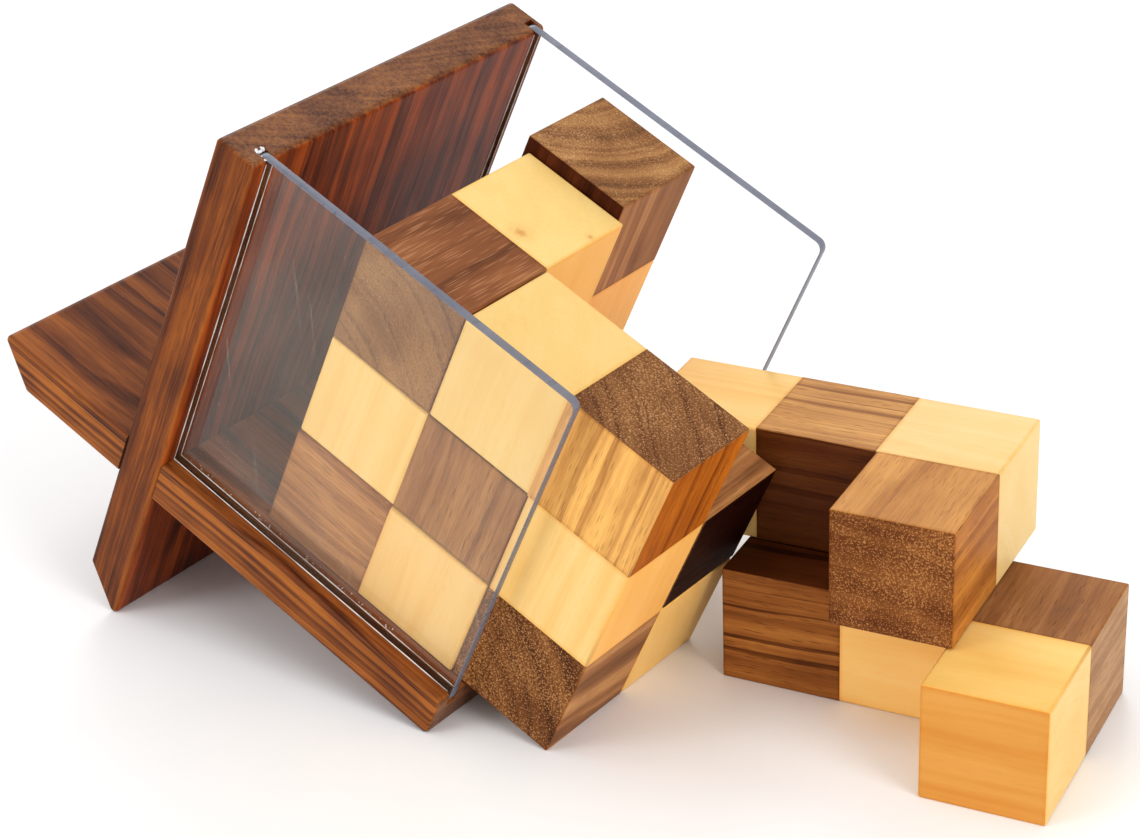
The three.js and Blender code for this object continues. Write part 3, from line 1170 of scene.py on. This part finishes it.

# The face tints below give partly each wood's tone and partly painted light and shade; the darkest ones are
# painted shade.
PIECES = [
    PuzzlePiece("bottom_zigzag", {
        "dark_1": WoodCut(Way.ALONG, (44, 20), (1.2, 1.2, 1.1), bands=0.3, shift=0.05),
        "light_2": WoodCut(Way.UP, (30, 40), (1.1, 1.05, 1.0), bands=0.3),
        "dark_3": WoodCut(Way.ALONG, (34, 20)),
        "light_4": WoodCut(Way.ALONG, (36, 12), (1.08, 0.98, 0.85), bands=0.5),
    }),
    PuzzlePiece("middle_zigzag", {
        "light_1": WoodCut(Way.UP, (38, 30), (1.1, 1.1, 1.06), bands=0.3),
        "dark_2": WoodCut(Way.UP, (28, 40), (1.0, 1.02, 1.0), bands=0.25, shift=0.05),
        "light_3": WoodCut(Way.UP, (30, 26), faces=(WARM_BOUNCE_SIDE,)),
        # painted shade: dark_4's faces along are made almost black, for the shaded recess beside the loose
        # pieces
        "dark_4": WoodCut(Way.ACROSS, (26, 14), faces=((Way.ALONG, (0.04, 0.01, 0.01)),)),
    }),
    PuzzlePiece("inside_l", {
        "dark_1": WoodCut(Way.ACROSS, (30, 22), (0.75, 0.64, 0.72), bands=0.15, pores=1.35, dots=0.15,
                          fill=PoreFill.DUST, pore_reach=1.8, faces=((Way.ACROSS, (2.6, 3.7, 3.4)),)),
        "light_2": WoodCut(Way.UP, (32, 30), bands=0.15, faces=(WARM_BOUNCE_SIDE,),
                           knots=((2.7, -8.9, 12.5, 1.6), (11.1, 2.9, 12.5, 0.8))),
        "dark_3": WoodCut(Way.UP, (24, 30)),
        "light_4": WoodCut(Way.UP, (28, 22)),
    }),
    PuzzlePiece("near_l", {
        "light_1": WoodCut(Way.UP, (34, 28), (0.95, 0.93, 0.93), bands=0.2,
                           faces=((Way.ACROSS, (1.10, 1.13, 1.10)),)),
        "dark_2": WoodCut(Way.UP, (22, 30), (1.62, 1.78, 1.5), bands=0.32, shift=0.22, lines=0.20,
                          pores=0.7,
                          faces=((Way.UP, (0.56, 0.49, 0.62)), (Way.ALONG, (0.55, 0.28, 0.08)))),
        "light_3": WoodCut(Way.UP, (40, 24), (1.05, 1.0, 0.98), faces=((Way.ALONG, (1.05, 0.84, 0.60)),)),
        "dark_4": WoodCut(Way.ACROSS, (30, 34), bands=0.45, lines=0.05,
                          faces=((Way.ACROSS, (1.0, 0.9, 0.8)), (Way.ALONG, (1.1, 1.15, 1.3)))),
    }),
    PuzzlePiece("far_bar", {
        "dark_1": WoodCut(Way.UP, (30, 20)),
        "light_2": WoodCut(Way.UP, (34, 24), faces=((Way.ALONG, (1.08, 0.80, 0.60)),)),
        # painted shade: dark_3's faces across are darkened for the narrow shaded gap above inside_l light_2
        "dark_3": WoodCut(Way.UP, (30, -14), (1.1, 1.15, 1.4), bands=0.5, shift=0.03, ring_scale=1.3,
                          pores=0.5, dots=0.3, lines=0.04,
                          faces=((Way.UP, (1.7, 1.95, 1.95)), (Way.ACROSS, (0.16, 0.07, 0.05)))),
    }),
    PuzzlePiece("loose_bottom_l", {
        # painted shadow: dark_1's top and bottom are darkened for the shadow of the loose top piece
        "dark_1": WoodCut(Way.ALONG, (16, 30), (1.08, 0.92, 0.62), bands=0.3, lines=0.35,
                          faces=((Way.UP, (0.30, 0.20, 0.16)),)),
        "light_2": WoodCut(Way.ALONG, (34, 20), (1.28, 1.16, 1.02)),
        # dark_3's end faces are lifted towards grey: partly the wood's tone and partly a painted sheen
        "dark_3": WoodCut(Way.ACROSS, (30, 24), (0.96, 0.97, 1.05), bands=0.2, lines=0.03,
                          faces=((Way.ALONG, (1.28, 1.62, 2.2)),)),
        "light_4": WoodCut(Way.ALONG, (12, 30), (1.0, 0.82, 0.56), bands=0.7,
                           faces=((Way.ACROSS, (0.80, 0.62, 0.46)), (Way.ALONG, (1.0, 1.18, 1.75)),
                                  (Way.UP, (1.05, 1.16, 1.3)))),
    }),
    PuzzlePiece("loose_top_l", {
        "light_1": WoodCut(Way.ALONG, (38, 22), (1.10, 1.05, 1.0)),
        # painted shade: dark_2's faces across are darkened for the recess beneath dark_4
        "dark_2": WoodCut(Way.ALONG, (30, 18), (1.3, 1.4, 1.4), bands=0.3, shift=0.2, lines=0.22,
                          faces=((Way.ACROSS, (0.22, 0.12, 0.08)),)),
        "light_3": WoodCut(Way.ALONG, (36, 30), (1.0, 1.04, 1.2), bands=0.3),
        "dark_4": WoodCut(Way.ACROSS, (60, 10), (1.25, 1.25, 1.1), bands=0.3, shift=0.16, lines=0.06,
                          faces=((Way.ACROSS, (0.80, 0.66, 0.60)), (Way.ALONG, (0.82, 0.66, 0.40)))),
    }),
]


# --- the studio ---


@dataclass(frozen=True)
class Lamp:
    """A soft square lamp. Its place and size are in metres and its power is in watts."""

    name: str
    place: tuple[float, float, float]
    size: float
    power: float


@dataclass
class Studio:
    """A pale table, soft white light and the camera, in metres with the lens in millimetres."""

    table: Colour = (0.93, 0.93, 0.93)
    table_reach: float = 6.0
    camera_place: tuple[float, float, float] = (0.306138, -0.403872, 0.307431)
    camera_right: tuple[float, float, float] = (0.805404, 0.591642, -0.035824)
    camera_up: tuple[float, float, float] = (-0.243090, 0.384833, 0.890399)
    lens: float = 90.735
    sky: float = 0.72
    lit_place: tuple[float, float, float] = (0.0, 0.0, 0.05)
    lamps: tuple[Lamp, ...] = (
        Lamp("key", (1.5, -0.35, 0.75), 0.8, 13.0),
        Lamp("front", (-0.75, -1.25, 0.75), 0.7, 7.0),
        Lamp("top", (-0.1, -0.2, 1.5), 0.8, 3.6),
        Lamp("back", (-0.9, 1.3, 1.2), 0.8, 8.0),
    )

    def build_table(self) -> None:
        """Lays the table under the cradle and the loose pieces."""
        shape = bmesh.new()
        bmesh.ops.create_grid(shape, x_segments=2, y_segments=2, size=self.table_reach)
        mesh = mesh_of(shape, "table")
        material, g = new_material("pale_table")
        place = g.add("ShaderNodeTexCoord").outputs["Object"]
        surface = g.add("ShaderNodeBsdfPrincipled", {
            "Base Color": self.table, "Roughness": g.remap(g.noise(place, 40.0), 0.3, 0.7, 0.55, 0.65)})
        g.add("ShaderNodeOutputMaterial", {"Surface": surface.outputs[0]})
        mesh.materials.append(material)
        linked("table", mesh)

    def build_lights(self) -> None:
        """Lights the table with a white sky and soft lamps."""
        world = bpy.data.worlds.new("studio")
        world.use_nodes = True
        background = world.node_tree.nodes["Background"]
        background.inputs["Color"].default_value = (1.0, 1.0, 1.0, 1.0)
        background.inputs["Strength"].default_value = self.sky
        bpy.context.scene.world = world
        for lamp in self.lamps:
            light = bpy.data.lights.new(lamp.name, "AREA")
            light.shape, light.size, light.energy = "SQUARE", lamp.size, lamp.power
            holder = linked(lamp.name, light)
            holder.location = lamp.place
            towards = Vector(self.lit_place) - Vector(lamp.place)
            holder.rotation_euler = towards.to_track_quat("-Z", "Y").to_euler()

    def build_camera(self) -> None:
        """Sets the camera up."""
        right, up = Vector(self.camera_right), Vector(self.camera_up)
        turn = Matrix((right, up, right.cross(up))).transposed()
        data = bpy.data.cameras.new("camera")
        data.lens, data.sensor_width = self.lens, 36.0
        data.clip_start, data.clip_end = 0.01, 50.0
        camera = linked("camera", data)
        camera.matrix_world = Matrix.Translation(self.camera_place) @ turn.to_4x4()
        bpy.context.scene.camera = camera


def corners(box: tuple[Vector, Vector]) -> list[list[float]]:
    """A box's two corners as plain lists."""
    return [[round(value, 6) for value in corner] for corner in box]


def main() -> None:
    """Builds every piece in order."""
    logging.basicConfig(level=logging.INFO, format="%(name)s: %(message)s")
    bpy.context.scene.view_settings.view_transform = "Standard"
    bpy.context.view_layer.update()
    studio = Studio()
    studio.build_camera()
    studio.build_table()
    studio.build_lights()
    LOG.info("studio ready")
    shop, cradle = WoodShop(), Cradle()
    cradle.dress_boards(shop)
    LOG.info("boards dressed")
    for part in (*cradle.build_panels(), *cradle.build_glue(), *cradle.build_dust()):
        LOG.info("%s built", part.name)
    block_tree = eased_block_tree()
    for piece in PIECES:
        blocks = piece.build(shop, block_tree)
        LOG.info("%s built from %d blocks", piece.body, len(blocks))


if __name__ == "__main__":
    main()
